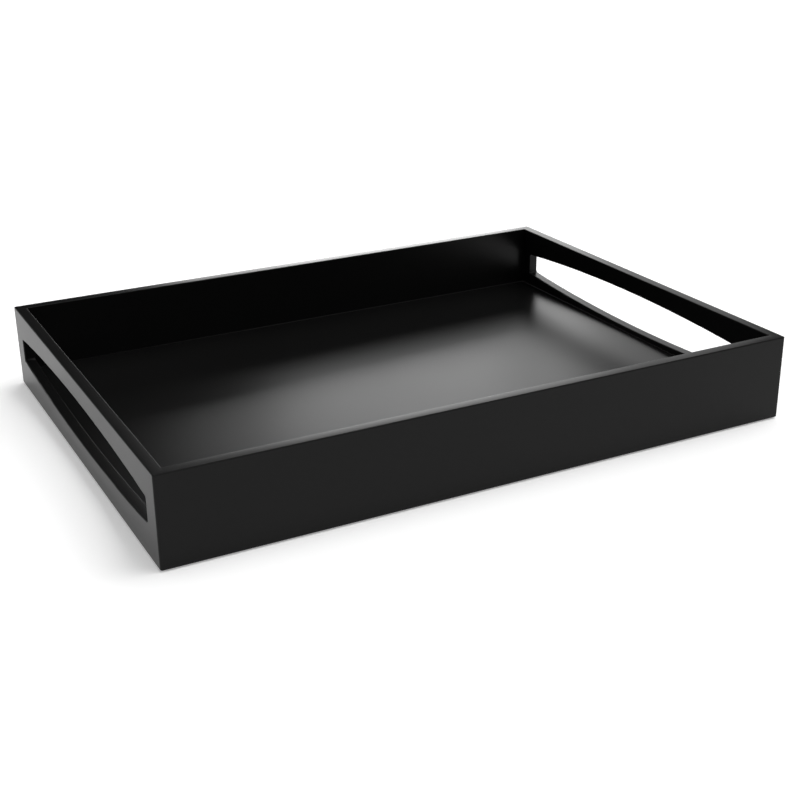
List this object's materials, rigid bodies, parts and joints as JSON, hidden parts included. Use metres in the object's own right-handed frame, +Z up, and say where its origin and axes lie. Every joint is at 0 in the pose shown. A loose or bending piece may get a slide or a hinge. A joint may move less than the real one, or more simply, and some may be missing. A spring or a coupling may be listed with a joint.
{
  "type": "serving tray",
  "caption": "Black lacquered rectangular serving tray with straight mitred sides, a flat floor let in below them and a long bowed hand slot through each short end.",
  "frame": {"origin": "on the table under the middle of the tray, level with the undersides of the feet", "axes": "+X along the long sides, +Y from the front side to the back side, +Z up"},
  "size_m": [0.46, 0.334, 0.062],
  "materials": {
    "lacquered_boards": "fibreboard in black satin lacquer, edges eased",
    "lacquered_floor": "fibreboard in black satin lacquer",
    "spline_plywood": "bare birch plywood",
    "foot_rubber": "moulded black rubber, matt"
  },
  "bodies": {
    "root": {"front_side": "lacquered_boards", "back_side": "lacquered_boards", "left_end": "lacquered_boards", "right_end": "lacquered_boards", "floor_panel": "lacquered_floor", "spline_front_left": "spline_plywood", "spline_front_right": "spline_plywood", "spline_back_left": "spline_plywood", "spline_back_right": "spline_plywood", "foot_front_left": "foot_rubber", "foot_front_right": "foot_rubber", "foot_back_left": "foot_rubber", "foot_back_right": "foot_rubber"}
  },
  "joints": []
}
